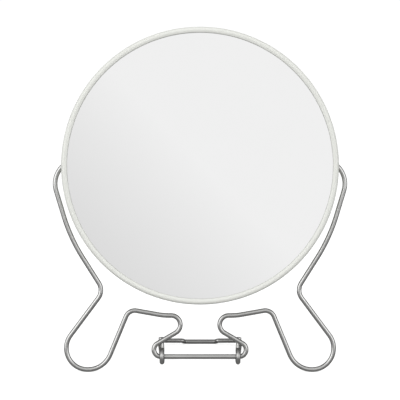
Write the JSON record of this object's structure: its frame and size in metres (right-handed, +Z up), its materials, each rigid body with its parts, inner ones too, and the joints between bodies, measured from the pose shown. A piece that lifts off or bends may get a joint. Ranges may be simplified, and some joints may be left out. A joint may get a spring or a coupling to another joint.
{
  "type": "folding shaving mirror",
  "caption": "Round table shaving mirror that turns right round in a bent-wire stand with looped front feet and a hinged wire rear leg.",
  "frame": {"origin": "on the table, at the middle of the whole object's footprint, with the rear leg open", "axes": "+Z is up, the plain glass looks to -Y and the rear leg runs back to +Y; +X is to the right for someone looking into the plain glass, along the pivots"},
  "size_m": [0.1854, 0.0872, 0.2158],
  "materials": {
    "wire": "satin nickel-plated steel wire",
    "rim": "smooth off-white moulded plastic",
    "mirror_glass": "silvered float glass",
    "card": "plain grey-brown card",
    "inner_plastic": "matt white moulded plastic"
  },
  "bodies": {
    "stand": {"stand_wire": "wire"},
    "mirror_head": {"front_rim": "rim", "rear_rim": "rim", "plain_glass": "mirror_glass", "magnifying_glass": "mirror_glass", "backing_card": "card", "spacer_ring": "inner_plastic", "left_pivot_sleeve": "inner_plastic", "right_pivot_sleeve": "inner_plastic"},
    "leg": {"rear_leg": "wire"}
  },
  "joints": [
    {"name": "mirror_tilt", "type": "hinge", "parent": "stand", "child": "mirror_head", "pos_m": [0, -0.02508, 0.12888], "axis": [1, 0, 0], "continuous": true},
    {"name": "rear_leg_swing", "type": "hinge", "parent": "stand", "child": "leg", "pos_m": [0, -0.03867, 0.00956], "axis": [-1, 0, 0], "range_deg": [0, 228]}
  ]
}
